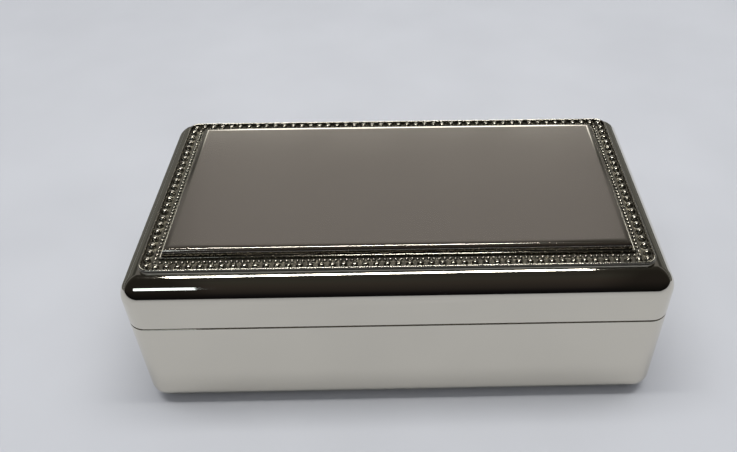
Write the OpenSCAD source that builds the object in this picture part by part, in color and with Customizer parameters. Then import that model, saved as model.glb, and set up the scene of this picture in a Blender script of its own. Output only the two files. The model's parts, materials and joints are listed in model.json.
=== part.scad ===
// Rosary box: a mirror-plated metal box with a hinged lid, a bead border and a velvet lining.
// The origin is the middle of the underside. +X is to the right, -Y is the front, +Z is up.

/* [Body] */
// Width of the box, left to right
box_w = 180; // [140:1:240]
// Depth of the box, front to back
box_d = 100; // [80:1:140]
// Height of the rim of the base above the table
base_h = 38.5; // [30:0.5:60]
// Height of the lid shell, from its lower edge to its top face
lid_h = 18.4; // [17:0.1:30]
// Gap of the seam between the base and the closed lid
seam_gap = 0.3; // [0.2:0.05:0.6]
// Thickness of the metal walls
wall = 1.6; // [1.6:0.1:2.4]
// Radius of the four upright corners
corner_r = 7; // [6:0.5:9]
// Radius of the rounding along the bottom edges
bottom_r = 6.5; // [5:0.5:9]
// Radius of the rounded shoulder of the lid
shoulder_r = 8.5; // [7:0.5:10]

/* [Border] */
// Distance from the side of the lid to the outer edge of the border
border_inset = 6.7; // [5.5:0.05:8]
// Width of the border strip
border_w = 6.6; // [6:0.1:8]
// Height of the border's two rims above the top of the lid
border_rise = 1.6; // [1.2:0.1:3]
// Depth of the seat that the border lies in
border_seat = 0.6; // [0.4:0.05:0.9]
// Height of the border's floor above the top of the lid
border_floor = 0.4; // [0.2:0.05:0.6]
// Radius of the border's outer corners
border_corner_r = 3.9; // [2:0.1:5]
// Width of each plain rim
rim_w = 0.7; // [0.5:0.05:1]
// Diameter of the large beads
bead_d = 2.8; // [2.4:0.1:3.3]
// Distance from one large bead to the next, before it is made to fit the sides
bead_pitch = 3.5; // [3.3:0.1:5]
// Diameter of the small beads, which lie inside the row of large ones, two to each
small_bead_d = 1.4; // [1:0.1:1.7]
// Gap between the large beads and the outer rim
bead_gap = 0.15; // [0.05:0.05:0.4]

/* [Top panel] */
// Gap between the border and the raised panel
panel_gap = 0.35; // [0.2:0.05:1]
// Height of the panel above the top of the lid
panel_rise = 4; // [3:0.1:5]
// Radius of the rolled edge of the panel
panel_edge_r = 4; // [2.5:0.1:6]
// Width of the rolled edge of the panel
panel_edge_w = 2.5; // [1.6:0.1:3.2]

/* [Lining] */
// Thickness of the velvet-covered wall liners
liner_t = 2; // [1.5:0.1:3]
// Gap between a wall and the liner in front of it
liner_gap = 0.35; // [0.3:0.05:0.6]
// Height of the lip that the liners of the base form above its rim
lip_h = 1.5; // [1:0.1:3]
// Thickness of the card under the floor pad and over the lid pad
card_t = 1.4; // [1:0.1:2]
// Thickness of the floor pad
floor_pad_t = 4.2; // [3:0.1:5]
// Thickness of the lid pad
lid_pad_t = 3.4; // [2:0.1:4]
// Thickness of the velvet under the box
under_pad_t = 0.8; // [0.5:0.1:1.5]

/* [Hinge] */
// Length of the hinge
hinge_l = 80; // [50:1:110]
// Number of knuckles, an odd number
knuckles = 5; // [3:2:9]
// Diameter of the hinge barrel
barrel_d = 3.2; // [2.8:0.1:3.6]
// Diameter of the hinge pin
pin_d = 1.6; // [1.2:0.1:1.8]
// Running clearance round the pin, on the radius
pin_play = 0.05; // [0.03:0.01:0.08]
// Gap between neighbouring knuckles
knuckle_gap = 0.3; // [0.2:0.05:0.5]
// Thickness of the hinge leaves
leaf_t = 0.8; // [0.6:0.1:1]
// Height of each hinge leaf from the pin
leaf_h = 8; // [6:0.5:9]
// Angle at which the bevelled back edges stop the lid
open_angle = 100; // [90:1:110]

/* [Hidden] */

$fn = 48;
// A cut reaches this far past what it cuts
over = 1;
// Soft pieces keep this far from what they don't rest on
soft_gap = 0.25;
// The pads' edges are rounded by this much
pad_edge_r = 1.2;
// The bevels at the back stay this many degrees apart when the lid is fully open
stop_play = 1;

lid_low = base_h + seam_gap;
lid_top = lid_low + lid_h;
cavity_corner_r = corner_r - wall;
floor_z = under_pad_t + wall;
ceiling_z = lid_top - wall;
inner_bottom_r = bottom_r - wall;
inner_shoulder_r = shoulder_r - wall;

pin_y = box_d / 2 - barrel_d / 2;
pin_z = base_h + seam_gap / 2;
knuckle_l = (hinge_l - (knuckles - 1) * knuckle_gap) / knuckles;
knuckle_step = knuckle_l + knuckle_gap;

border_z0 = lid_top - border_seat;
border_floor_z = lid_top + border_floor;
rim_z = lid_top + border_rise;
bead_inset = border_inset + rim_w + bead_gap + bead_d / 2;
bead_sink = (border_seat + border_floor) / 2;
small_bead_shift = (border_inset + border_w - rim_w - bead_inset + bead_d / 2) / 2;
corner_bead_shift = max(border_inset + border_corner_r - bead_inset, 0) * (1 - sqrt(1 / 2));
panel_inset = border_inset + border_w + panel_gap;

liner_in = wall + liner_gap;
liner_face = liner_in + liner_t;
back_liner_in = max(wall + leaf_t, barrel_d) + liner_gap;
lip_z = base_h + lip_h;
lid_liner_z0 = lip_z + 2 * liner_gap;

// Height of a rounding of radius r above its lowest line, at a distance u from the upright face.
// The same sum gives its distance from the upright face at a height u above that line.
function round_rise(r, u) = r - sqrt(max(r * r - pow(max(r - u, 0), 2), 0));

lid_liner_z1 = ceiling_z - round_rise(inner_shoulder_r, liner_gap) - soft_gap;
floor_card_inset = bottom_r + soft_gap;
lid_card_inset = shoulder_r + soft_gap;
floor_pad_z = floor_z + card_t;
floor_pad_inset = max(wall + round_rise(inner_bottom_r, card_t), liner_face) + soft_gap;
liner_z0 = max(floor_z + round_rise(inner_bottom_r, liner_gap), floor_pad_z + floor_pad_t) + soft_gap;
lid_pad_z = ceiling_z - card_t;
lid_pad_inset = max(wall + round_rise(inner_shoulder_r, card_t), liner_face) + soft_gap;

// Upright section of a tub: width w, height h, both bottom corners rounded with radius r
module tub_section(w, h, r) {
    translate([-w / 2 + r, 0]) square([w - 2 * r, h]);
    translate([-w / 2, r]) square([w, h - r]);
    for (side = [-1, 1]) translate([side * (w / 2 - r), r]) circle(r);
}

// Solid tub standing on z = 0: w by d by h, upright corners rc, bottom edges rb
module tub(w, d, h, rc, rb) {
    intersection() {
        rotate([90, 0, 0]) linear_extrude(d, center = true) tub_section(w, h, rb);
        rotate([90, 0, 90]) linear_extrude(w, center = true) tub_section(d, h, rb);
        linear_extrude(h) union() {
            square([w - 2 * rc, d], center = true);
            square([w, d - 2 * rc], center = true);
        }
    }
    for (sx = [-1, 1], sy = [-1, 1]) translate([sx * (w / 2 - rc), sy * (d / 2 - rc), 0])
        rotate_extrude() intersection() {
            translate([rc - w / 2, 0]) tub_section(w, h, rb);
            square([rc, h]);
        }
}

// Rounded rectangle, w by d with corner radius r
module rounded(w, d, r) {
    square([w - 2 * r, d], center = true);
    square([w, d - 2 * r], center = true);
    for (sx = [-1, 1], sy = [-1, 1]) translate([sx * (w / 2 - r), sy * (d / 2 - r)]) circle(r);
}

// Flat slab between heights z0 and z1, set in from the sides of the box
module slab(inset, z0, z1, r) {
    translate([0, 0, z0]) linear_extrude(z1 - z0) rounded(box_w - 2 * inset, box_d - 2 * inset, r);
}

// Wedge behind the pin that lets the back edges pass. side is 1 for the lid and -1 for the base.
module back_bevel(side) {
    reach = barrel_d / 2 + over;
    translate([0, pin_y, pin_z]) rotate([90, 0, 90])
        linear_extrude(box_w + 2 * over, center = true)
            polygon([[0, 0], [reach, 0], [reach, side * reach * tan(open_angle / 2 + stop_play)]]);
}

// Space for the hinge barrel in the back edges
module barrel_space() {
    translate([0, pin_y, pin_z]) rotate([0, 90, 0])
        cylinder(d = barrel_d + 2 * knuckle_gap, h = hinge_l + 2 * knuckle_gap, center = true);
}

module base_shell() {
    color("silver") difference() {
        translate([0, 0, under_pad_t])
            tub(box_w, box_d, base_h - under_pad_t, corner_r, bottom_r);
        translate([0, 0, floor_z])
            tub(box_w - 2 * wall, box_d - 2 * wall, base_h, cavity_corner_r, inner_bottom_r);
        back_bevel(-1);
        barrel_space();
    }
}

module lid_shell() {
    color("silver") difference() {
        translate([0, 0, lid_top]) mirror([0, 0, 1])
            tub(box_w, box_d, lid_h, corner_r, shoulder_r);
        translate([0, 0, ceiling_z]) mirror([0, 0, 1])
            tub(box_w - 2 * wall, box_d - 2 * wall, lid_h, cavity_corner_r, inner_shoulder_r);
        difference() {
            slab(border_inset, border_z0, lid_top + over, border_corner_r);
            slab(border_inset + border_w, border_z0 - over, lid_top + 2 * over, rim_w);
        }
        back_bevel(1);
        barrel_space();
    }
}

// Upright section of the raised panel across a side of the box, with its two rolled edges
module panel_section(side) {
    half = side / 2 - panel_inset;
    intersection() {
        translate([-half, lid_top]) square([2 * half, panel_rise]);
        union() {
            translate([-half + panel_edge_w, lid_top]) square([2 * (half - panel_edge_w), panel_rise]);
            for (edge = [-1, 1])
                translate([edge * (half - panel_edge_w), lid_top + panel_rise - panel_edge_r])
                    circle(panel_edge_r);
        }
    }
}

module top_panel() {
    color("gray") intersection() {
        rotate([90, 0, 0]) linear_extrude(box_d, center = true) panel_section(box_w);
        rotate([90, 0, 90]) linear_extrude(box_w, center = true) panel_section(box_d);
    }
}

// Frame between two rounded rectangles, from height z0 to z1. Its corners follow the border's own.
module frame(outer, inner, z0, z1) {
    difference() {
        slab(outer, z0, z1, border_corner_r - outer + border_inset);
        slab(inner, z0 - over, z1 + over, rim_w);
    }
}

// The border: a floor strip between two plain rims, with a row of large beads and one of small ones
module bead_border() {
    color("lightgray") {
        difference() {
            frame(border_inset, border_inset + border_w, border_z0, rim_z);
            frame(border_inset + rim_w, border_inset + border_w - rim_w, border_floor_z, rim_z + over);
        }
        bead_rows();
    }
}

// Ball of diameter d round the origin, cut flat inside the floor strip
module bead(d) {
    rotate_extrude($fn = 20) intersection() {
        circle(d = d);
        translate([0, -bead_sink]) square([d, d]);
    }
}

// Beads along one side of the border, the first large and small one in its corner. length is the
// whole row's. The large bead in the corner lies a little further in, clear of the round rim.
module bead_row(length) {
    count = round(length / bead_pitch);
    step = length / count;
    translate([-length / 2, 0, border_floor_z]) {
        translate([corner_bead_shift, corner_bead_shift]) bead(bead_d);
        translate([small_bead_shift, small_bead_shift]) bead(small_bead_d);
        for (i = [1 : count - 1]) translate([i * step, 0]) bead(bead_d);
        for (i = [1 : count - 2], share = [1 / 4, 3 / 4])
            translate([(i + share) * step, small_bead_shift]) bead(small_bead_d);
    }
}

module bead_rows() {
    run_x = box_w - 2 * bead_inset;
    run_y = box_d - 2 * bead_inset;
    for (turn = [0, 180]) rotate(turn) {
        translate([0, -run_y / 2, 0]) bead_row(run_x);
        translate([run_x / 2, 0, 0]) rotate(90) bead_row(run_y);
    }
}

module underside_velvet() {
    color("black") slab(bottom_r, 0, under_pad_t, corner_r);
}

module floor_card() {
    color("dimgray") slab(floor_card_inset, floor_z, floor_z + card_t, rim_w);
}

module floor_pad() {
    color("darkslategray") translate([0, 0, floor_pad_z + floor_pad_t]) mirror([0, 0, 1])
        tub(box_w - 2 * floor_pad_inset, box_d - 2 * floor_pad_inset, floor_pad_t,
            cavity_corner_r, pad_edge_r);
}

module lid_card() {
    color("dimgray") slab(lid_card_inset, ceiling_z - card_t, ceiling_z, rim_w);
}

module lid_pad() {
    color("darkslategray") translate([0, 0, lid_pad_z - lid_pad_t])
        tub(box_w - 2 * lid_pad_inset, box_d - 2 * lid_pad_inset, lid_pad_t,
            cavity_corner_r, pad_edge_r);
}

// Liner across the front or the back, from height z0 to z1, its outer face at the given inset
module cross_liner(side, inset, z0, z1) {
    length = box_w - 2 * (liner_in + cavity_corner_r);
    color("darkslategray") translate([0, side * (box_d / 2 - inset - liner_t / 2), (z0 + z1) / 2])
        cube([length, liner_t, z1 - z0], center = true);
}

// Liner along the left or the right side
module end_liner(side, z0, z1) {
    front = -box_d / 2 + liner_in + cavity_corner_r;
    back = box_d / 2 - back_liner_in - cavity_corner_r;
    color("darkslategray") translate([side * (box_w / 2 - liner_in - liner_t / 2), (front + back) / 2,
        (z0 + z1) / 2]) cube([liner_t, back - front, z1 - z0], center = true);
}

module base_liner_front() cross_liner(-1, liner_in, liner_z0, lip_z);
module base_liner_back() cross_liner(1, back_liner_in, liner_z0, lip_z);
module base_liner_left() end_liner(-1, liner_z0, lip_z);
module base_liner_right() end_liner(1, liner_z0, lip_z);
module lid_liner_front() cross_liner(-1, liner_in, lid_liner_z0, lid_liner_z1);
module lid_liner_back() cross_liner(1, back_liner_in, lid_liner_z0, lid_liner_z1);
module lid_liner_left() end_liner(-1, lid_liner_z0, lid_liner_z1);
module lid_liner_right() end_liner(1, lid_liner_z0, lid_liner_z1);

// One hinge leaf with the knuckles whose numbers are in the list. side is 1 for the lid and -1 for the base.
module hinge_leaf(side, own) {
    barrel_r = barrel_d / 2;
    clear_r = barrel_r + knuckle_gap;
    color("lightgray") difference() {
        union() {
            translate([-hinge_l / 2, box_d / 2 - wall - leaf_t, side > 0 ? pin_z + clear_r : pin_z - leaf_h])
                cube([hinge_l, leaf_t, leaf_h - clear_r]);
            for (i = own) translate([-hinge_l / 2 + i * knuckle_step, 0, 0]) {
                translate([0, pin_y, pin_z]) rotate([0, 90, 0]) cylinder(d = barrel_d, h = knuckle_l);
                translate([0, box_d / 2 - wall - leaf_t, side > 0 ? pin_z : pin_z - clear_r - leaf_t])
                    cube([knuckle_l, leaf_t, clear_r + leaf_t]);
            }
        }
        translate([0, pin_y, pin_z]) rotate([0, 90, 0])
            cylinder(d = pin_d + 2 * pin_play, h = hinge_l + 2 * over, center = true);
    }
}

module hinge_leaf_base() hinge_leaf(-1, [for (i = [0 : 2 : knuckles - 1]) i]);
module hinge_leaf_lid() hinge_leaf(1, [for (i = [1 : 2 : knuckles - 2]) i]);

module hinge_pin() {
    color("gray") translate([0, pin_y, pin_z]) rotate([0, 90, 0])
        cylinder(d = pin_d, h = hinge_l, center = true);
}

base_shell();
underside_velvet();
floor_card();
floor_pad();
base_liner_front();
base_liner_back();
base_liner_left();
base_liner_right();
hinge_leaf_base();
hinge_pin();
lid_shell();
top_panel();
bead_border();
lid_card();
lid_pad();
lid_liner_front();
lid_liner_back();
lid_liner_left();
lid_liner_right();
hinge_leaf_lid();
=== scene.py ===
import json
import math
import random

import bmesh
import bpy
from mathutils import Matrix, Vector


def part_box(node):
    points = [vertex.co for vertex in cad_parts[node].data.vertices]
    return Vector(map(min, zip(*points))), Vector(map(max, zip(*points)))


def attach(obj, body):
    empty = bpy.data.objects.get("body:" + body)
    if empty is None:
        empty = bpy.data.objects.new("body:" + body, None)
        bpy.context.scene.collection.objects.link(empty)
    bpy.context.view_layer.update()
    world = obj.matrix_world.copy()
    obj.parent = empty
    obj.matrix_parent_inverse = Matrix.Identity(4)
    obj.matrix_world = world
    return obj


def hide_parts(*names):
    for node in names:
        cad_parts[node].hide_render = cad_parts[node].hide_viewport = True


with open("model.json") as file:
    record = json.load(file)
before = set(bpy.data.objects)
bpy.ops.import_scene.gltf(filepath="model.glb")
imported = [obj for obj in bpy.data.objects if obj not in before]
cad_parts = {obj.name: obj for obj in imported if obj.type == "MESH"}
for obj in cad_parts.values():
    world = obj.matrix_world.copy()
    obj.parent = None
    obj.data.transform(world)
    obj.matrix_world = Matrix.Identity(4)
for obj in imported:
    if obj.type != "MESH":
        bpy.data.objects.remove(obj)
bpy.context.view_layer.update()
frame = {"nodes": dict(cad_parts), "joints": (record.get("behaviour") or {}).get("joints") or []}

MM = 0.001
IMAGE_W = 737
IMAGE_H = 452


def node_box(name):
    """Lowest and highest corner of a CAD node, in millimetres."""
    return [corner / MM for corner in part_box(name)]


shell_low, shell_high = node_box("base_shell")
lid_low, lid_high = node_box("lid_shell")
border_low, border_high = node_box("bead_border")
panel_low, panel_high = node_box("top_panel")
pin_low, pin_high = node_box("hinge_pin")

BOX_W = shell_high.x - shell_low.x
BOX_D = shell_high.y - shell_low.y
HINGE = frame["joints"][0]
PIN = Vector(HINGE["pos_m"]) / MM

# Sizes in millimetres that the frame's boxes don't give
WALL = 1.6
CORNER_R = 7.0
SHOULDER_R = 8.5
BOTTOM_R = 6.5
LIP_R = 0.35
BORDER_W = 6.6
BORDER_CORNER_R = 3.9
BORDER_FLOOR = 0.4
BORDER_RISE = 1.6
RIM_W = 0.7
FOOT_H = 0.75
GROOVE = 0.15
BEAD_D = 2.8
BEAD_GAP = 0.15
BEAD_PITCH = 3.5
SMALL_BEAD_D = 1.4
# The plate's rolled edge from the flat outwards: each arc's radius, and its slope in degrees at the end
PANEL_ROLL = ((4.0, 22.0), (1.6, 80.0))
PANEL_FLAT_INSET = 16.15
PANEL_FOOT_RISE = 0.1
# Height above the lid's top up to which the plate's sides get a painted shade, a darker base colour
PANEL_PAINTED_SHADE_H = 2.8
BARREL_R = 1.6
KNUCKLE_GAP = 0.3
PAD_CORNER_R = 6.0
PAD_EDGE_R = 1.2
LINER_EDGE_R = 0.7
FELT_EDGE_R = 0.25
# Degrees by which each back edge's bevel clears the open lid's stop
STOP_PLAY = 1.0
# Distance in metres from the box to the studio's screens
ROOM_R = 1.6

BORDER_INSET = border_low.x - shell_low.x
BEAD_INSET = BORDER_INSET + RIM_W + BEAD_GAP + BEAD_D / 2
# From the large beads' line inwards to the small ones'
SMALL_BEAD_SHIFT = (BORDER_INSET + BORDER_W - RIM_W - BEAD_INSET + BEAD_D / 2) / 2
# The large bead in each corner lies this much further in, clear of the round rim
CORNER_BEAD_SHIFT = (BORDER_INSET + BORDER_CORNER_R - BEAD_INSET) * (1 - math.sqrt(0.5))
# Height of the lid's shoulder where the border begins
SEAT_Z = lid_high.z - SHOULDER_R + math.sqrt(SHOULDER_R**2 - (SHOULDER_R - BORDER_INSET) ** 2)
PANEL_INSET = panel_low.x - shell_low.x


def tone(sheet):
    """An sRGB hex colour as linear RGBA."""
    parts = [int(sheet[i : i + 2], 16) / 255 for i in (1, 3, 5)]
    linear = [c / 12.92 if c <= 0.04045 else ((c + 0.055) / 1.055) ** 2.4 for c in parts]
    return (*linear, 1.0)


def add(tree, kind, links=None, **settings):
    """Adds a node. links gives an input its value, or the socket that feeds it."""
    node = tree.nodes.new(kind)
    for name, value in settings.items():
        setattr(node, name, value)
    for key, value in (links or {}).items():
        if isinstance(value, bpy.types.NodeSocket):
            tree.links.new(value, node.inputs[key])
        else:
            node.inputs[key].default_value = value
    return node


def new_material(name):
    """A material, its node tree and the tree's output node."""
    material = bpy.data.materials.new(name)
    material.use_nodes = True
    tree = material.node_tree
    tree.nodes.clear()
    return material, tree, add(tree, "ShaderNodeOutputMaterial")


def ramp(tree, feed, stops):
    """A colour ramp with the given stops, each a place and a colour."""
    node = add(tree, "ShaderNodeValToRGB", {"Fac": feed})
    elements = node.color_ramp.elements
    while len(elements) < len(stops):
        elements.new(0.5)
    for element, (place, colour) in zip(elements, stops):
        element.position = place
        element.color = colour
    return node


def polished_nickel(name, base, low, high, swell, crease=None):
    """Bright nickel plate on cast zinc, polished on a wheel: a warm mirror with faint swells and haze.

    crease is a height and the colour below it: a painted shade, the base colour darker low on the plate's
    sides.
    """
    material, tree, out = new_material(name)
    place = add(tree, "ShaderNodeTexCoord").outputs["Object"]
    # Haze left by the polishing wheel, in clouds about 25 mm across
    haze = add(tree, "ShaderNodeTexNoise", {"Vector": place, "Scale": 40.0, "Detail": 3.0})
    rough = add(tree, "ShaderNodeMapRange", {"Value": haze.outputs["Fac"], "To Min": low, "To Max": high})
    # Slow swells of the casting under the plate, about 60 mm from crest to crest
    waves = add(tree, "ShaderNodeTexNoise", {"Vector": place, "Scale": 16.0, "Detail": 1.0})
    bump = add(tree, "ShaderNodeBump", {"Height": waves.outputs["Fac"], "Strength": 1.0, "Distance": swell})
    colour = tone(base)
    # Painted shade: below the given height the base colour turns darker
    if crease:
        level, shade = crease
        blend = 0.3
        height = add(tree, "ShaderNodeSeparateXYZ", {"Vector": place}).outputs["Z"]
        near = add(
            tree,
            "ShaderNodeMapRange",
            {"Value": height, "From Min": (level - blend) * MM, "From Max": (level + blend) * MM},
        )
        colour = ramp(tree, near.outputs["Result"], [(0.0, tone(shade)), (1.0, tone(base))]).outputs["Color"]
    metal = add(
        tree,
        "ShaderNodeBsdfPrincipled",
        {
            "Base Color": colour,
            "Metallic": 1.0,
            "Roughness": rough.outputs["Result"],
            "Normal": bump.outputs["Normal"],
        },
    )
    tree.links.new(metal.outputs["BSDF"], out.inputs["Surface"])
    return material


def cast_nickel_painted_shade(name, stops):
    """Cast ornament with nickel plate, coloured by height: dark in the hollows and on the bead flanks, light
    on the crowns. This is partly the dull metal that the polish never reached and partly painted shade and
    painted highlight.

    The stops are shades by height: 0 at the border's foot, 0.3 at its floor, 1 on the large beads.
    """
    material, tree, out = new_material(name)
    place = add(tree, "ShaderNodeTexCoord").outputs["Object"]
    height = add(tree, "ShaderNodeSeparateXYZ", {"Vector": place}).outputs["Z"]
    rise = add(
        tree,
        "ShaderNodeMapRange",
        {"Value": height, "From Min": SEAT_Z * MM, "From Max": border_high.z * MM},
    )
    # Painted shade and highlight: darker low in the hollows and on the bead flanks, lighter on the crowns
    colour = ramp(tree, rise.outputs["Result"], [(level, tone(shade)) for level, shade in stops])
    # Left matt in the hollows, polished on the crowns
    rough = add(
        tree,
        "ShaderNodeMapRange",
        {"Value": rise.outputs["Result"], "To Min": 0.40, "To Max": 0.12},
    )
    # Grain of the casting skin, about 0.4 mm
    grain = add(tree, "ShaderNodeTexNoise", {"Vector": place, "Scale": 2500.0, "Detail": 2.0})
    bump = add(
        tree,
        "ShaderNodeBump",
        {"Height": grain.outputs["Fac"], "Strength": 0.35, "Distance": 0.00005},
    )
    metal = add(
        tree,
        "ShaderNodeBsdfPrincipled",
        {
            "Base Color": colour.outputs["Color"],
            "Metallic": 1.0,
            "Roughness": rough.outputs["Result"],
            "Normal": bump.outputs["Normal"],
        },
    )
    tree.links.new(metal.outputs["BSDF"], out.inputs["Surface"])
    return material


def velvet_pile():
    """Charcoal cotton velvet: nearly black, with a soft grey sheen where the pile turns away."""
    material, tree, out = new_material("charcoal_velvet")
    place = add(tree, "ShaderNodeTexCoord").outputs["Object"]
    # Pile tufts, drawn at 0.35 mm so that they show
    tufts = add(tree, "ShaderNodeTexNoise", {"Vector": place, "Scale": 2800.0, "Detail": 2.0})
    # Brush marks where the pile lies another way, about 20 mm across
    nap = add(tree, "ShaderNodeTexNoise", {"Vector": place, "Scale": 50.0, "Detail": 3.0})
    colour = ramp(
        tree,
        nap.outputs["Fac"],
        [(0.3, tone("#2A2B2E")), (0.55, tone("#33353A")), (0.75, tone("#3E4046"))],
    )
    bump = add(tree, "ShaderNodeBump", {"Height": tufts.outputs["Fac"], "Strength": 0.8, "Distance": 0.0002})
    cloth = add(
        tree,
        "ShaderNodeBsdfPrincipled",
        {
            "Base Color": colour.outputs["Color"],
            "Roughness": 0.95,
            "Specular IOR Level": 0.2,
            "Sheen Weight": 0.7,
            "Sheen Roughness": 0.45,
            "Sheen Tint": tone("#9A9CA3"),
            "Normal": bump.outputs["Normal"],
        },
    )
    tree.links.new(cloth.outputs["BSDF"], out.inputs["Surface"])
    return material


def grey_board():
    """Recycled grey board, cut with a knife: matt, with darker fibres."""
    material, tree, out = new_material("grey_board")
    place = add(tree, "ShaderNodeTexCoord").outputs["Object"]
    # Paper fibres, 1.5 mm long
    fibres = add(tree, "ShaderNodeTexNoise", {"Vector": place, "Scale": 700.0, "Detail": 4.0})
    colour = ramp(tree, fibres.outputs["Fac"], [(0.35, tone("#7C776E")), (0.65, tone("#A29C91"))])
    bump = add(tree, "ShaderNodeBump", {"Height": fibres.outputs["Fac"], "Strength": 0.3, "Distance": 0.0001})
    board = add(
        tree,
        "ShaderNodeBsdfPrincipled",
        {"Base Color": colour.outputs["Color"], "Roughness": 0.9, "Normal": bump.outputs["Normal"]},
    )
    tree.links.new(board.outputs["BSDF"], out.inputs["Surface"])
    return material


def rolled_steel():
    """Nickel-plated steel strip from the mill: satin, with fine rolling lines along the hinge."""
    material, tree, out = new_material("plated_steel_strip")
    place = add(tree, "ShaderNodeTexCoord").outputs["Object"]
    # Rolling lines, 0.3 mm apart across the strip and drawn out along it
    stretched = add(tree, "ShaderNodeMapping", {"Vector": place, "Scale": (40.0, 3300.0, 3300.0)})
    lines = add(
        tree,
        "ShaderNodeTexNoise",
        {"Vector": stretched.outputs["Vector"], "Scale": 1.0, "Detail": 2.0},
    )
    rough = add(tree, "ShaderNodeMapRange", {"Value": lines.outputs["Fac"], "To Min": 0.22, "To Max": 0.38})
    bump = add(tree, "ShaderNodeBump", {"Height": lines.outputs["Fac"], "Strength": 0.2, "Distance": 0.00003})
    steel = add(
        tree,
        "ShaderNodeBsdfPrincipled",
        {
            "Base Color": tone("#C6C3BB"),
            "Metallic": 1.0,
            "Roughness": rough.outputs["Result"],
            "Normal": bump.outputs["Normal"],
        },
    )
    tree.links.new(steel.outputs["BSDF"], out.inputs["Surface"])
    return material


SHELL_METAL = polished_nickel("polished_nickel_shell", "#D5D0C4", 0.02, 0.06, 0.00004)
# The plate's sides low down get a painted shade, a darker base colour
PANEL_METAL = polished_nickel(
    "polished_nickel_panel_painted_shade", "#D6CFC4", 0.11, 0.15, 0.00003, crease=(lid_high.z + PANEL_PAINTED_SHADE_H, "#6E6A62")
)
# The strip: painted shade from its floor up the rims' sides, light on its foot and on the rim tops
STRIP_METAL = cast_nickel_painted_shade(
    "cast_strip_nickel_painted_shade",
    [
        (0.00, "#C8C4B8"),
        (0.28, "#ABA79A"),
        (0.32, "#77736B"),
        (0.42, "#625F57"),
        (0.72, "#625F57"),
        (0.82, "#C8C4B8"),
    ],
)
# The beads: painted shade on their flanks, lighter crowns
BEAD_METAL = cast_nickel_painted_shade(
    "cast_bead_nickel_painted_shade",
    [(0.30, "#66635B"), (0.52, "#B4B0A4"), (0.65, "#C6C2B6"), (0.74, "#9A968B"), (1.00, "#B1ADA2")],
)
VELVET = velvet_pile()
BOARD = grey_board()
STEEL = rolled_steel()


def verts_of(geom):
    return [g for g in geom if isinstance(g, bmesh.types.BMVert)]


def edges_between(geom):
    """The edges in geom whose two ends are in it too."""
    ends = set(verts_of(geom))
    return [g for g in geom if isinstance(g, bmesh.types.BMEdge) and set(g.verts) <= ends]


def open_edges(bm):
    return [edge for edge in bm.edges if edge.is_boundary]


def to_object(bm, name):
    mesh = bpy.data.meshes.new(name)
    bm.to_mesh(mesh)
    bm.free()
    piece = bpy.data.objects.new(name, mesh)
    bpy.context.scene.collection.objects.link(piece)
    return piece


def make_piece(bm, name, material, body, stands_for=(), crease=32.0):
    """Turns a bmesh in millimetres into a smooth piece in metres that rides on a body."""
    bmesh.ops.remove_doubles(bm, verts=bm.verts, dist=0.0005)
    bmesh.ops.recalc_face_normals(bm, faces=bm.faces)
    for face in bm.faces:
        face.smooth = True
    for edge in bm.edges:
        if len(edge.link_faces) == 2:
            edge.smooth = edge.calc_face_angle() < math.radians(crease)
    bmesh.ops.scale(bm, vec=(MM, MM, MM), verts=bm.verts)
    piece = to_object(bm, name)
    piece.data.materials.append(material)
    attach(piece, body)
    if stands_for:
        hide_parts(*stands_for)
    return piece


def arc(centre, radius_out, radius_up, start, end, steps):
    """Points along an ellipse's arc, each a distance outwards and a height. Angles are in degrees."""
    turns = [math.radians(start + (end - start) * i / steps) for i in range(steps + 1)]
    return [
        (centre[0] + radius_out * math.cos(turn), centre[1] + radius_up * math.sin(turn)) for turn in turns
    ]


def sweep_round(bm, section, inset, radius, steps=14):
    """Sweeps a section round a rounded rectangle set in from the box's sides.

    Each point of the section is a distance outwards from that line, and a height.
    """
    run_w = BOX_W / 2 - inset - radius
    run_d = BOX_D / 2 - inset - radius
    start = [bm.verts.new((-run_w, -run_d - radius - out, height)) for out, height in section]
    edges = [bm.edges.new(pair) for pair in zip(start, start[1:])]
    sides = [
        (Vector((2 * run_w, 0, 0)), (run_w, -run_d, 0)),
        (Vector((0, 2 * run_d, 0)), (run_w, run_d, 0)),
        (Vector((-2 * run_w, 0, 0)), (-run_w, run_d, 0)),
        (Vector((0, -2 * run_d, 0)), (-run_w, -run_d, 0)),
    ]
    for run, corner in sides:
        moved = bmesh.ops.extrude_edge_only(bm, edges=edges)["geom"]
        bmesh.ops.translate(bm, vec=run, verts=verts_of(moved))
        turned = bmesh.ops.spin(
            bm,
            geom=verts_of(moved) + edges_between(moved),
            cent=corner,
            axis=(0, 0, 1),
            dvec=(0, 0, 0),
            angle=math.pi / 2,
            steps=steps,
            use_merge=False,
            use_duplicate=False,
        )["geom_last"]
        edges = edges_between(turned)
    bmesh.ops.remove_doubles(bm, verts=bm.verts, dist=0.0005)


def terrace(bm, face, steps):
    """Steps a flat face inwards and upwards, with mitred corners. Each step is a width and a rise."""
    for width, rise in steps:
        if width:
            bmesh.ops.inset_individual(bm, faces=[face], thickness=width, depth=0, use_even_offset=True)
        else:
            face = bmesh.ops.extrude_discrete_faces(bm, faces=[face])["faces"][0]
        bmesh.ops.translate(bm, vec=(0, 0, rise), verts=face.verts)
    return face


def cut_away(bm, cutter):
    """Takes the cutter's solid out of bm's, and returns the rest as a new bmesh."""
    for solid in (bm, cutter):
        bmesh.ops.recalc_face_normals(solid, faces=solid.faces)
    piece = to_object(bm, "uncut")
    tool = to_object(cutter, "cutter")
    cut = piece.modifiers.new("cut", "BOOLEAN")
    cut.operation = "DIFFERENCE"
    cut.solver = "EXACT"
    cut.object = tool
    rest = bmesh.new()
    rest.from_object(piece, bpy.context.evaluated_depsgraph_get())
    bpy.data.objects.remove(piece)
    bpy.data.objects.remove(tool)
    return rest


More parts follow.
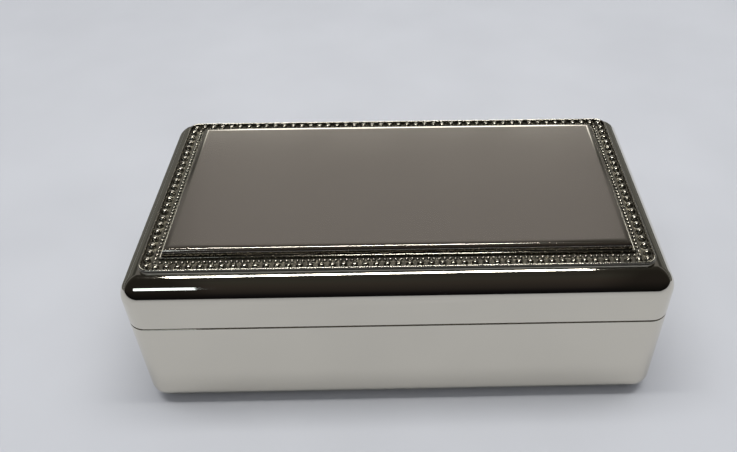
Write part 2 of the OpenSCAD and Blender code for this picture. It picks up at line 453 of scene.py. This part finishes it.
def hinge_slot():
    """The slot in the back edges that the hinge's barrel turns in."""
    slot = bmesh.new()
    bmesh.ops.create_cone(
        slot,
        cap_ends=True,
        segments=40,
        radius1=BARREL_R + KNUCKLE_GAP,
        radius2=BARREL_R + KNUCKLE_GAP,
        depth=pin_high.x - pin_low.x + 2 * KNUCKLE_GAP,
        matrix=Matrix.Translation(PIN) @ Matrix.Rotation(math.pi / 2, 4, "Y"),
    )
    return slot


def bevel_back_edge(bm, side):
    """Cuts the back edge to the plane that stops the open lid. side is 1 for the lid and -1 for the base."""
    stop = math.radians(HINGE["range_deg"][1] / 2 + STOP_PLAY)
    away = Vector((0, math.sin(stop), -side * math.cos(stop)))
    bmesh.ops.bisect_plane(
        bm,
        geom=bm.verts[:] + bm.edges[:] + bm.faces[:],
        dist=0.0001,
        plane_co=PIN,
        plane_no=away,
        clear_outer=True,
    )
    bmesh.ops.holes_fill(bm, edges=open_edges(bm), sides=0)


def make_base_shell():
    """The base: one drawn shell with a flat rim and a rounded bottom edge."""
    bm = bmesh.new()
    bottom, rim = shell_low.z, shell_high.z
    inner_r = CORNER_R - WALL
    section = [(-CORNER_R, bottom)] + arc((-BOTTOM_R, bottom + BOTTOM_R), BOTTOM_R, BOTTOM_R, -90, 0, 28)
    section += [(0, bottom + BOTTOM_R + LIP_R), (0, rim - 2 * LIP_R)]
    section += arc((-LIP_R, rim - LIP_R), LIP_R, LIP_R, 0, 90, 4)
    section += arc((-WALL + LIP_R, rim - LIP_R), LIP_R, LIP_R, 90, 180, 4)
    section += arc((-CORNER_R, bottom + WALL + inner_r), inner_r, inner_r, 0, -90, 12)
    sweep_round(bm, section, 0, CORNER_R)
    bmesh.ops.holes_fill(bm, edges=open_edges(bm), sides=0)
    bevel_back_edge(bm, -1)
    bm = cut_away(bm, hinge_slot())
    return make_piece(bm, "base_body", SHELL_METAL, "base", ["base_shell"])


def make_lid_shell():
    """The lid: a shell with a rounded shoulder, and a ledge that the border lies on."""
    bm = bmesh.new()
    rim, top = lid_low.z, lid_high.z
    inner_r = CORNER_R - WALL
    seat_turn = math.degrees(math.acos((SHOULDER_R - BORDER_INSET) / SHOULDER_R))
    section = arc((-CORNER_R, top - WALL - inner_r), inner_r, inner_r, 90, 0, 12)
    section += arc((-WALL + LIP_R, rim + LIP_R), LIP_R, LIP_R, 180, 270, 4)
    section += arc((-LIP_R, rim + LIP_R), LIP_R, LIP_R, 270, 360, 4)
    section += [(0, rim + 2 * LIP_R), (0, top - SHOULDER_R - LIP_R)]
    section += arc((-SHOULDER_R, top - SHOULDER_R), SHOULDER_R, SHOULDER_R, 0, seat_turn, 32)
    section.append((-CORNER_R, SEAT_Z))
    sweep_round(bm, section, 0, CORNER_R)
    filled = bmesh.ops.holes_fill(bm, edges=open_edges(bm), sides=0)["faces"]
    seat = max(filled, key=lambda face: face.calc_center_median().z)
    terrace(bm, seat, [(BORDER_INSET + BORDER_W - CORNER_R, 0), (0, top - SEAT_Z)])
    bevel_back_edge(bm, 1)
    bm = cut_away(bm, hinge_slot())
    return make_piece(bm, "lid_body", SHELL_METAL, "lid", ["lid_shell"])


def make_border_strip():
    """The border's floor and its two plain rims, which are round on top."""
    bm = bmesh.new()
    rim_r = RIM_W / 2
    rim_steps = 10
    neck = 0.1
    seat, floor, top = SEAT_Z, lid_high.z + BORDER_FLOOR, lid_high.z + BORDER_RISE
    path_r = BORDER_CORNER_R - rim_r
    section = [(rim_r, seat), (rim_r, seat + FOOT_H), (rim_r - GROOVE, seat + FOOT_H + GROOVE)]
    section += [(rim_r - GROOVE, top - rim_r - GROOVE), (rim_r, top - rim_r)]
    section += arc((0, top - rim_r), rim_r, rim_r, 0, 180, rim_steps)
    section += [(-rim_r, top - rim_r - neck), (-rim_r, floor), (-path_r, floor)]
    sweep_round(bm, section, BORDER_INSET + rim_r, path_r, steps=16)
    rings = bmesh.ops.holes_fill(bm, edges=open_edges(bm), sides=0)["faces"]
    channel = max(rings, key=lambda face: face.calc_center_median().z)
    under = min(rings, key=lambda face: face.calc_center_median().z)
    bmesh.ops.delete(bm, geom=[under], context="FACES_ONLY")
    steps = [(BORDER_W - BORDER_CORNER_R - RIM_W, 0), (0, top - rim_r - floor - neck), (0, neck)]
    turns = [math.radians(180 * i / rim_steps) for i in range(rim_steps + 1)]
    for before, after in zip(turns, turns[1:]):
        width = rim_r * (math.cos(before) - math.cos(after))
        steps.append((width, rim_r * (math.sin(after) - math.sin(before))))
    steps += [(0, -neck), (0, seat - top + rim_r + neck)]
    last = terrace(bm, channel, steps)
    bmesh.ops.delete(bm, geom=[last], context="FACES_ONLY")
    bmesh.ops.bridge_loops(bm, edges=open_edges(bm))
    return make_piece(bm, "border_strip", STRIP_METAL, "lid", ["bead_border"], crease=50.0)


def bead_shape():
    """A round bead, 1 mm across, as a mesh to copy."""
    bm = bmesh.new()
    bmesh.ops.create_icosphere(bm, subdivisions=2, radius=0.5)
    ball = bpy.data.meshes.new("bead")
    bm.to_mesh(ball)
    bm.free()
    return ball


def add_bead(bm, ball, spot, size, draw):
    """One cast bead, a little off its true place and shape."""
    stray = 0.02 * size
    shape = (1 + draw.uniform(-0.04, 0.04), 1 + draw.uniform(-0.04, 0.04), 1 + draw.uniform(-0.05, 0.02))
    place = spot + Vector((draw.uniform(-stray, stray), draw.uniform(-stray, stray), 0))
    copy = ball.copy()
    copy.transform(
        Matrix.Translation(place)
        @ Matrix.Diagonal((*(share * size for share in shape), 1))
        @ Matrix.Rotation(draw.random(), 4, "Z")
    )
    bm.from_mesh(copy)
    bpy.data.meshes.remove(copy)


def make_border_beads():
    """A row of large beads with a row of small ones inside it, two to each large one."""
    bm = bmesh.new()
    ball = bead_shape()
    draw = random.Random(7)
    for turn, run, offset in (
        (0, BOX_W - 2 * BEAD_INSET, BOX_D / 2 - BEAD_INSET),
        (90, BOX_D - 2 * BEAD_INSET, BOX_W / 2 - BEAD_INSET),
        (180, BOX_W - 2 * BEAD_INSET, BOX_D / 2 - BEAD_INSET),
        (270, BOX_D - 2 * BEAD_INSET, BOX_W / 2 - BEAD_INSET),
    ):
        count = round(run / BEAD_PITCH)
        step = run / count
        spots = [
            (CORNER_BEAD_SHIFT, CORNER_BEAD_SHIFT, BEAD_D),
            (SMALL_BEAD_SHIFT, SMALL_BEAD_SHIFT, SMALL_BEAD_D),
        ]
        spots += [(i * step, 0, BEAD_D) for i in range(1, count)]
        for i in range(1, count - 1):
            spots += [((i + share) * step, SMALL_BEAD_SHIFT, SMALL_BEAD_D) for share in (0.25, 0.75)]
        for along, inwards, size in spots:
            spot = Vector((along - run / 2, inwards - offset, lid_high.z + BORDER_FLOOR))
            spot.rotate(Matrix.Rotation(math.radians(turn), 3, "Z"))
            add_bead(bm, ball, spot, size, draw)
    bpy.data.meshes.remove(ball)
    return make_piece(bm, "border_beads", BEAD_METAL, "lid", crease=180.0)


def make_panel():
    """The raised plate inside the border, with its edges rolled down."""
    bm = bmesh.new()
    low, high = panel_low, panel_high
    size = high - low
    base = bmesh.ops.create_grid(bm, x_segments=1, y_segments=1, size=0.5)["verts"]
    bmesh.ops.scale(bm, vec=(size.x, size.y, 1), verts=base)
    bmesh.ops.translate(bm, vec=(0, 0, low.z), verts=base)
    face = bm.faces[:][0]
    strips = []
    start = 0.0
    roll_steps = 12
    for radius, end in PANEL_ROLL:
        turns = [math.radians(start + (end - start) * i / roll_steps) for i in range(roll_steps + 1)]
        for before, after in zip(turns, turns[1:]):
            width = radius * (math.sin(after) - math.sin(before))
            strips.append((width, radius * (math.cos(before) - math.cos(after))))
        start = end
    foot = PANEL_FLAT_INSET - PANEL_INSET - sum(width for width, rise in strips)
    drop = sum(rise for width, rise in strips)
    steps = [(0, size.z - drop - PANEL_FOOT_RISE), (foot, PANEL_FOOT_RISE)] + strips[::-1]
    # A narrow ring of the flat keeps the shading of the roll off the middle
    steps.append((0.3, 0))
    terrace(bm, face, steps)
    return make_piece(bm, "raised_panel", PANEL_METAL, "lid", ["top_panel"], crease=28.0)


def node_block(node):
    """A block of a CAD node's size round the origin, and the node's centre and size."""
    low, high = node_box(node)
    size = high - low
    bm = bmesh.new()
    bmesh.ops.create_cube(bm, size=1)
    bmesh.ops.scale(bm, vec=size, verts=bm.verts)
    bm.normal_update()
    return bm, (low + high) / 2, size


def round_edges(bm, edges, radius, segments):
    bmesh.ops.bevel(
        bm,
        geom=edges,
        offset=radius,
        offset_type="OFFSET",
        affect="EDGES",
        segments=segments,
        profile=0.5,
        material=-1,
    )


def upright_edges(bm):
    """The edges that stand nearly straight up in a block of flat faces."""
    return [e for e in bm.edges if all(abs(f.normal.z) < 0.1 for f in e.link_faces)]


def edges_of(faces):
    return list({edge for face in faces for edge in face.edges})


def make_pad(name, node, body, up, crown, cuts=(40, 22)):
    """A velvet-covered pad: full in the middle, drawn down at its edges. up is 1 or -1."""
    bm, centre, size = node_block(node)
    round_edges(bm, upright_edges(bm), PAD_CORNER_R, 8)
    round_edges(bm, edges_of([f for f in bm.faces if f.normal.z * up > 0.9]), PAD_EDGE_R, 6)
    for axis, count, span in ((0, cuts[0], size.x), (1, cuts[1], size.y)):
        normal = Vector((axis == 0, axis == 1, 0))
        for i in range(1, count):
            bmesh.ops.bisect_plane(
                bm,
                geom=bm.verts[:] + bm.edges[:] + bm.faces[:],
                dist=0.0001,
                plane_co=normal * (span * (i / count - 0.5)),
                plane_no=normal,
            )
    edge_level = size.z / 2 - PAD_EDGE_R
    for vert in bm.verts:
        if vert.co.z * up > edge_level:
            across = 1 - abs(2 * vert.co.x / size.x) ** 6
            along = 1 - abs(2 * vert.co.y / size.y) ** 4
            share = max(0.0, across) * max(0.0, along)
            vert.co.z -= up * crown * (1 - share) * (vert.co.z * up - edge_level) / PAD_EDGE_R
    bmesh.ops.translate(bm, vec=centre, verts=bm.verts)
    pad = make_piece(bm, name, VELVET, body, [node], crease=60.0)
    return pad


def make_liner(name, node, body):
    """A board wrapped in velvet: a thin slab with soft edges."""
    bm, centre, _ = node_block(node)
    round_edges(bm, bm.edges[:], LINER_EDGE_R, 5)
    bmesh.ops.translate(bm, vec=centre, verts=bm.verts)
    liner = make_piece(bm, name, VELVET, body, [node], crease=60.0)
    return liner


def make_underside():
    """The velvet under the box, glued down and cut with rounded corners."""
    bm, centre, _ = node_block("underside_velvet")
    round_edges(bm, upright_edges(bm), CORNER_R, 12)
    round_edges(bm, edges_of([f for f in bm.faces if abs(f.normal.z) > 0.9]), FELT_EDGE_R, 3)
    bmesh.ops.translate(bm, vec=centre, verts=bm.verts)
    return make_piece(bm, "underside_pad", VELVET, "base", ["underside_velvet"], crease=60.0)


make_base_shell()
make_lid_shell()
make_border_strip()
make_border_beads()
make_panel()
make_pad("floor_cushion", "floor_pad", "base", 1, 0.7)
make_pad("lid_cushion", "lid_pad", "lid", -1, 0.6)
for body in ("base", "lid"):
    for side in ("front", "back", "left", "right"):
        node = f"{body}_liner_{side}"
        make_liner(f"{node}_velvet", node, body)
make_underside()

for node, material in (
    ("floor_card", BOARD),
    ("lid_card", BOARD),
    ("hinge_leaf_base", STEEL),
    ("hinge_leaf_lid", STEEL),
    ("hinge_pin", STEEL),
):
    plate = frame["nodes"][node]
    plate.data.materials.clear()
    plate.data.materials.append(material)


def make_camera():
    """The photograph's view: from above the front, with the frame cut off-centre."""
    camera = bpy.data.objects.new("camera", bpy.data.cameras.new("camera"))
    bpy.context.scene.collection.objects.link(camera)
    bpy.context.scene.camera = camera
    focal_px = 750.7
    centre_px = (421.4, 246.4)
    camera.data.sensor_width = 36.0
    camera.data.lens = camera.data.sensor_width * focal_px / IMAGE_W
    camera.data.shift_x = (IMAGE_W / 2 - centre_px[0]) / IMAGE_W
    camera.data.shift_y = (centre_px[1] - IMAGE_H / 2) / IMAGE_W
    camera.data.clip_start = 0.01
    camera.location = (0.00306, -0.2179, 0.2214)
    camera.rotation_euler = (math.pi / 2 - 0.723, 0, -0.024)


def make_floor():
    """A pale cotton cloth, pulled flat."""
    material, tree, out = new_material("pale_cotton_cloth")
    place = add(tree, "ShaderNodeTexCoord").outputs["Object"]
    # Soft unevenness of the cloth, about 60 mm across
    cloud = add(tree, "ShaderNodeTexNoise", {"Vector": place, "Scale": 16.0, "Detail": 2.0})
    colour = ramp(tree, cloud.outputs["Fac"], [(0.3, tone("#C6C8CD")), (0.7, tone("#CBCDD2"))])
    cloth = add(tree, "ShaderNodeBsdfPrincipled", {"Base Color": colour.outputs["Color"], "Roughness": 0.9})
    tree.links.new(cloth.outputs["BSDF"], out.inputs["Surface"])
    bm = bmesh.new()
    bmesh.ops.create_grid(bm, x_segments=1, y_segments=1, size=ROOM_R)
    floor = to_object(bm, "floor")
    floor.data.materials.append(material)


def show_to_metal_only(piece):
    """Keeps a piece of the studio out of the picture: only mirrors see it."""
    piece.visible_camera = False
    piece.visible_diffuse = False
    piece.visible_shadow = False


def make_screens():
    """Glowing screens round the box, which only the metal sees: bands of light and dark that paint its
    reflections, brightest along the back's horizon.
    """
    material, tree, out = new_material("studio_screens")
    place = add(tree, "ShaderNodeTexCoord").outputs["Object"]
    parts = add(tree, "ShaderNodeSeparateXYZ", {"Vector": place}).outputs
    turn = add(tree, "ShaderNodeMath", {0: parts["Z"], 1: parts["Y"]}, operation="ARCTAN2")
    share = add(tree, "ShaderNodeMath", {0: turn.outputs[0], 1: 1 / math.pi}, operation="MULTIPLY")
    # From the back's horizon, over the top, to the front's horizon
    middle = ramp(
        tree,
        share.outputs[0],
        [
            (0.00, (2.40, 2.40, 2.28, 1)),
            (0.16, (2.30, 2.30, 2.19, 1)),
            (0.175, (0.222, 0.212, 0.210, 1)),
            (0.25, (0.215, 0.205, 0.203, 1)),
            (0.29, (0.14, 0.13, 0.125, 1)),
            (0.33, (0.035, 0.033, 0.028, 1)),
            (0.48, (0.028, 0.026, 0.022, 1)),
            (0.60, (0.042, 0.040, 0.034, 1)),
            (0.70, (0.040, 0.034, 0.029, 1)),
            (0.84, (0.026, 0.022, 0.020, 1)),
            (0.93, (0.008, 0.007, 0.008, 1)),
            (0.99, (0.004, 0.004, 0.004, 1)),
        ],
    )
    sides = ramp(
        tree,
        share.outputs[0],
        [
            (0.00, (0.13, 0.13, 0.12, 1)),
            (0.10, (0.13, 0.13, 0.12, 1)),
            (0.13, (0.05, 0.05, 0.045, 1)),
            (0.17, (0.05, 0.05, 0.045, 1)),
            (0.195, (0.15, 0.145, 0.14, 1)),
            (0.25, (0.15, 0.145, 0.14, 1)),
            (0.32, (0.035, 0.033, 0.028, 1)),
            (0.50, (0.020, 0.018, 0.015, 1)),
            (0.75, (0.020, 0.017, 0.015, 1)),
            (0.99, (0.004, 0.004, 0.004, 1)),
        ],
    )
    off_centre = add(tree, "ShaderNodeMath", {0: parts["X"]}, operation="ABSOLUTE")
    aside = add(
        tree,
        "ShaderNodeMapRange",
        {"Value": off_centre.outputs[0], "From Min": 0.50, "From Max": 0.60},
    )
    shades = add(
        tree,
        "ShaderNodeMix",
        {0: aside.outputs["Result"], 6: middle.outputs["Color"], 7: sides.outputs["Color"]},
        data_type="RGBA",
    )
    glow = add(tree, "ShaderNodeEmission", {"Color": shades.outputs[2], "Strength": 1.0})
    tree.links.new(glow.outputs["Emission"], out.inputs["Surface"])
    bm = bmesh.new()
    start = bm.verts.new((-ROOM_R, ROOM_R, 0))
    end = bm.verts.new((ROOM_R, ROOM_R, 0))
    edge = bm.edges.new((start, end))
    bmesh.ops.spin(
        bm,
        geom=[start, end, edge],
        cent=(0, 0, 0),
        axis=(1, 0, 0),
        dvec=(0, 0, 0),
        angle=math.pi,
        steps=48,
        use_merge=False,
        use_duplicate=False,
    )
    for side in (-1, 1):
        rim = [e for e in open_edges(bm) if all(side * v.co.x > 0.9 * ROOM_R for v in e.verts)]
        bmesh.ops.contextual_create(bm, geom=rim)
    screens = to_object(bm, "screens")
    screens.data.materials.append(material)
    show_to_metal_only(screens)


def make_painted_reflection_sheets():
    """Dark glowing sheets on the table beside the box, which only the metal sees: they paint darker
    reflections along its left and right sides.
    """
    material, tree, out = new_material("dark_sheets")
    # Painted reflection: a dim glow that the metal sees in place of the lit cloth
    glow = add(tree, "ShaderNodeEmission", {"Color": (0.13, 0.13, 0.12, 1), "Strength": 1.0})
    tree.links.new(glow.outputs["Emission"], out.inputs["Surface"])
    for name, place, size in (
        ("left_sheet", (-0.56, 0.58, 0.001), (0.88, 1.1)),
        ("right_sheet", (0.72, 0.58, 0.001), (0.88, 1.1)),
    ):
        bm = bmesh.new()
        corners = bmesh.ops.create_grid(bm, x_segments=1, y_segments=1, size=0.5)["verts"]
        bmesh.ops.scale(bm, vec=(*size, 1), verts=corners)
        bmesh.ops.translate(bm, vec=place, verts=corners)
        sheet = to_object(bm, name)
        sheet.data.materials.append(material)
        show_to_metal_only(sheet)


def add_lamp(name, place, aim, size, power, colour):
    """A flat lamp of the given width and depth in metres, turned to a point."""
    lamp = bpy.data.lights.new(name, "AREA")
    lamp.shape = "RECTANGLE"
    lamp.size, lamp.size_y = size
    lamp.energy = power
    lamp.color = tone(colour)[:3]
    holder = bpy.data.objects.new(name, lamp)
    bpy.context.scene.collection.objects.link(holder)
    holder.location = place
    holder.rotation_euler = (Vector(place) - Vector(aim)).to_track_quat("Z", "Y").to_euler()
    return holder


def make_lights():
    """A tube lamp overhead, a small window in front on the left, and two soft lamps for the cloth."""
    tube = add_lamp("tube_lamp", (-0.05, 0.17, 1.2), (-0.05, 0, 0.06), (0.83, 0.10), 7.5, "#FFFDF8")
    # The tube hangs a little askew, with its right end further back
    tube.rotation_euler.z += math.radians(8)
    tube.visible_diffuse = False
    window = add_lamp("window", (-0.72, -0.99, 1.01), (-0.72, 0, 0.05), (0.46, 0.24), 1.05, "#E4F1F8")
    window.visible_diffuse = False
    key = add_lamp("key_light", (0, -0.05, 1.25), (0, -0.05, 0), (1.2, 0.05), 4.4, "#FFFDF8")
    key.visible_glossy = False
    fill = add_lamp("soft_fill", (0, 0.10, 1.25), (0, 0.10, 0), (1.6, 0.36), 9.2, "#FFFFFF")
    fill.visible_glossy = False


def make_room():
    """A pale room: a dim light on what is matt, and the full colour for the camera and in mirrors."""
    world = bpy.data.worlds.new("pale_room")
    bpy.context.scene.world = world
    world.use_nodes = True
    tree = world.node_tree
    tree.nodes.clear()
    out = add(tree, "ShaderNodeOutputWorld")
    rays = add(tree, "ShaderNodeLightPath").outputs
    straight = add(
        tree,
        "ShaderNodeMath",
        {0: rays["Is Camera Ray"], 1: rays["Is Glossy Ray"]},
        operation="MAXIMUM",
    )
    seen = add(
        tree,
        "ShaderNodeMath",
        {0: straight.outputs[0], 1: rays["Is Transmission Ray"]},
        operation="MAXIMUM",
    )
    wall = tone("#C9CBD0")
    dim = add(tree, "ShaderNodeBackground", {"Color": wall, "Strength": 0.60})
    backdrop = add(tree, "ShaderNodeBackground", {"Color": wall, "Strength": 1.0})
    mix = add(tree, "ShaderNodeMixShader", {0: seen.outputs[0], 1: dim.outputs[0], 2: backdrop.outputs[0]})
    tree.links.new(mix.outputs[0], out.inputs["Surface"])


make_camera()
make_floor()
make_screens()
make_painted_reflection_sheets()
make_lights()
make_room()
bpy.context.scene.view_settings.view_transform = "Standard"
